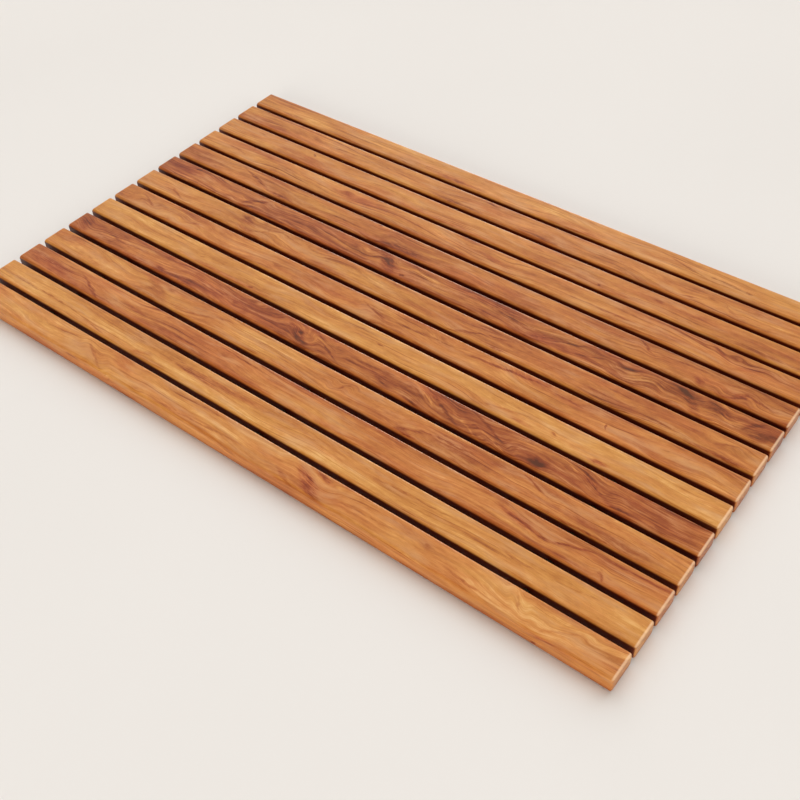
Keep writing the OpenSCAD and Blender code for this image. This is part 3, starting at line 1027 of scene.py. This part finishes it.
def teak(i, wood):
    """Oiled teak of slat i. Its grain is a field through the solid, so that it runs on over the
    edges, down the faces and into the bores."""
    g = Graph(numbered("teak", i))
    node = numbered("slat", i)
    top_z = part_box(node)[1].z
    seed = FIRST_SEED + SEED_PER_SLAT * i
    along, out, up = g.parts(g.millimetres((0, middle(node).y, top_z)))
    depth = g.times(up, -1.0)
    across = g.add(out, up)                 # layers lean, so depth shifts them sideways
    solid = g.point(along, across, up)
    place = warped_place(g, solid, along, across, seed)
    bent = grain_across(g, solid, along, across, seed, wood)
    grain_place = g.point(along, bent, up)
    broken_place = g.point(along, bent, across)

    streaks = g.layer(grain_place, STREAKS, seed)
    fibre = g.layer(grain_place, FIBRE, seed)
    pores = g.mask(grain_place, PORES, seed)
    dark_sum, red_sum = mark_sums(g, place, wood.marks)
    tone = grain_tone(g, solid, grain_place, broken_place, streaks, fibre, seed, wood)
    dark = darkness(g, place, broken_place, streaks, dark_sum, seed, wood.knots)
    tone = g.math("SUBTRACT", tone, dark)
    redness = g.swing(g.layer(solid, BLUSH, seed), BLUSH_SHARE, g.add(red_sum, wood.red))
    redness = g.math("ADD", redness, 0.0, clamp=True)

    colour = g.mix(redness, g.ramp(tone, GOLDEN_TEAK), g.ramp(tone, RED_TEAK))
    pale = g.times(g.mask(grain_place, PALE, seed), g.ease(tone, *PALE_TONES))
    colour = g.mix(g.times(pale, PALE_SHARE), colour, linear(PALE_WOOD))
    colour = surface_colour(g, i, colour, along, out, depth, pores)
    rough = g.plus_times(streaks, STREAK_ROUGHNESS, ROUGHNESS)
    rough = g.plus_times(pores, PORE_ROUGHNESS, rough)
    relief = g.plus_times(fibre, FIBRE_RELIEF, g.times(streaks, STREAK_RELIEF))
    relief = g.plus_times(pores, PORE_RELIEF, relief)
    bump = g.bump(relief, GRAIN_DEPTH, GRAIN_BUMP)
    return g.finish(colour, rough, bump, specular=WOOD_SPECULAR)


# -------------------- rubber, cord and floor

RUBBER_TONES = [(0.25, "#1E1916"), (0.75, "#302823")]
RUBBER_BLOOM = Layer((2.2, 2.2, 2.2), 3.0, 4.0, 0.6)
RUBBER_SPECKS = Layer((0.16, 0.16, 0.16), 5.0)
RUBBER_ROUGHNESS = (0.2, 0.62)  # the bloom's share, and the least value
RUBBER_BUMP = (0.03 * MM, 0.6)  # depth and strength

CORD_TONES = [(0.25, "#33221A"), (0.55, "#4A3424"), (0.85, "#6A4E38")]
CORD_SHADE = "#3A2A20"
CORD_SHADE_SHARE = 0.35
CORD_FIBRES = Layer((0.16, 0.9, 0.16), 2.0, 3.0, 0.6)
CORD_PATCHES = Layer((1.2, 3.0, 1.2), 4.0)
CORD_ROUGHNESS = (0.2, 0.6)
CORD_BUMP = (0.06 * MM, 0.8)

FLOOR_TONES = [(0.2, "#EEEAE5"), (0.8, "#F1EDE8")]
FLOOR_CLOUDS = Layer((420, 420, 420), 1.0)
FLOOR_ROUGHNESS = 0.9


def rubber():
    """Matt black-brown moulded rubber with a fine bloom."""
    g = Graph("rubber")
    place = g.millimetres()
    bloom = g.layer(place, RUBBER_BLOOM)
    bump = g.bump(g.layer(place, RUBBER_SPECKS), *RUBBER_BUMP)
    rough = g.plus_times(bloom, *RUBBER_ROUGHNESS)
    return g.finish(g.ramp(bloom, RUBBER_TONES), rough, bump, specular=0.25)


def cord():
    """Dark brown laid polyester cord with fine fibres along its strands."""
    g = Graph("cord")
    place = g.millimetres()
    fibre = g.layer(place, CORD_FIBRES)
    shaded = g.times(g.layer(place, CORD_PATCHES), CORD_SHADE_SHARE)
    colour = g.mix(shaded, g.ramp(fibre, CORD_TONES), linear(CORD_SHADE))
    rough = g.plus_times(fibre, *CORD_ROUGHNESS)
    return g.finish(colour, rough, g.bump(fibre, *CORD_BUMP), sheen=0.25)


def floor_material():
    """Warm white studio floor."""
    g = Graph("floor")
    colour = g.ramp(g.layer(g.millimetres(), FLOOR_CLOUDS), FLOOR_TONES)
    return g.finish(colour, FLOOR_ROUGHNESS, specular=0.0)


# -------------------- stage, lights and camera

FLOOR_SIZE = 14.0
CAMERA_AIM = (0.0872, -0.1058, 0.018)
CAMERA_DISTANCE = 1.0292
CAMERA_AZIMUTH = 39.455         # degrees from straight in front, towards +X
CAMERA_ELEVATION = 45.920
CAMERA_ROLL = -2.855
CAMERA_LENS = 48.270
CAMERA_SENSOR = 36.0
SKY_COLOUR = (1.0, 0.94, 0.85)
SKY_LEVEL = 0.345

# Lamps: the direction towards each, its width in degrees, the brightness that it gives a white
# surface that faces it, its colour, and whether it lights the diffuse or the glossy share
DIFFUSE = "diffuse"
GLOSSY = "glossy"
Lamp = namedtuple("Lamp", "name towards degrees_wide level colour lights")
LAMPS = [
    Lamp("key", (-0.32, 0.62, 0.72), 75, 0.705, (0.92, 0.95, 1.0), DIFFUSE),
    Lamp("front_fill", (0.25, -0.94, 0.23), 30, 0.44, (1.0, 0.93, 0.86), DIFFUSE),
    Lamp("right_fill", (0.93, 0.10, 0.36), 34, 0.20, (1.0, 0.93, 0.86), DIFFUSE),
    Lamp("end_shine", (0.60, 0.60, 0.53), 30, 0.5, (1.0, 0.86, 0.72), GLOSSY),
    Lamp("back_shine", (-0.44, 0.885, 0.15), 20, 0.30, (1.0, 0.94, 0.84), GLOSSY),
    Lamp("left_haze", (-0.76, 0.46, 0.46), 36, 0.055, (0.78, 0.94, 1.0), GLOSSY),
]


def make_floor():
    """The plain studio floor that the mat lies on."""
    bm = bmesh.new()
    bmesh.ops.create_grid(bm, x_segments=8, y_segments=8, size=FLOOR_SIZE / 2)
    floor = new_piece("floor", bm, [floor_material()])


def looking(direction, roll_deg):
    """Rotation of a camera or light that looks along direction."""
    turn = Vector(direction).to_track_quat("-Z", "Y").to_matrix().to_4x4()
    return turn @ Matrix.Rotation(math.radians(roll_deg), 4, "Z")


def make_camera():
    """The camera, aimed at a point on the mat from an azimuth and elevation."""
    camera = bpy.data.cameras.new("camera")
    camera.lens = CAMERA_LENS
    camera.sensor_width = CAMERA_SENSOR
    holder = bpy.data.objects.new("camera", camera)
    azimuth = math.radians(CAMERA_AZIMUTH)
    elevation = math.radians(CAMERA_ELEVATION)
    back = Vector((
        math.cos(elevation) * math.sin(azimuth),
        -math.cos(elevation) * math.cos(azimuth),
        math.sin(elevation),
    ))
    place = Vector(CAMERA_AIM) + back * CAMERA_DISTANCE
    holder.matrix_world = Matrix.Translation(place) @ looking(-back, CAMERA_ROLL)
    bpy.context.scene.collection.objects.link(holder)
    bpy.context.scene.camera = holder


def soft_sun(lamp):
    """A far, wide, soft lamp that lights only the diffuse or only the glossy share."""
    light = bpy.data.lights.new(lamp.name, "SUN")
    light.angle = math.radians(lamp.degrees_wide)
    light.energy = lamp.level * math.pi
    light.color = lamp.colour
    holder = bpy.data.objects.new(lamp.name, light)
    holder.matrix_world = looking(-Vector(lamp.towards), 0)
    holder.visible_diffuse = lamp.lights == DIFFUSE
    holder.visible_glossy = lamp.lights == GLOSSY
    bpy.context.scene.collection.objects.link(holder)


def make_lights():
    """The soft studio lamps and the even light of the sky."""
    for lamp in LAMPS:
        soft_sun(lamp)
    world = bpy.data.worlds.new("studio")
    bpy.context.scene.world = world
    world.use_nodes = True
    background = world.node_tree.nodes["Background"]
    background.inputs["Color"].default_value = (*SKY_COLOUR, 1)
    background.inputs["Strength"].default_value = SKY_LEVEL
    bpy.context.scene.view_settings.view_transform = "Standard"


# -------------------- the mat


def make_mat():
    """Every piece of the mat, on its own body and in place of its CAD node."""
    rubber_material = rubber()
    cord_material = cord()
    for i in range(1, SLAT_COUNT + 1):
        make_slat(i, teak(i, WOODS[i - 1]))
        make_pads(i, rubber_material)
        make_cord_run(i, cord_material)
    for i in range(1, SLAT_COUNT):
        make_spacers(i, rubber_material)
    make_knots(1, "cord_knots_front", 1, cord_material)
    make_knots(SLAT_COUNT, "cord_knots_back", -1, cord_material)


make_camera()
make_floor()
make_lights()
make_mat()

bpy.context.view_layer.update()
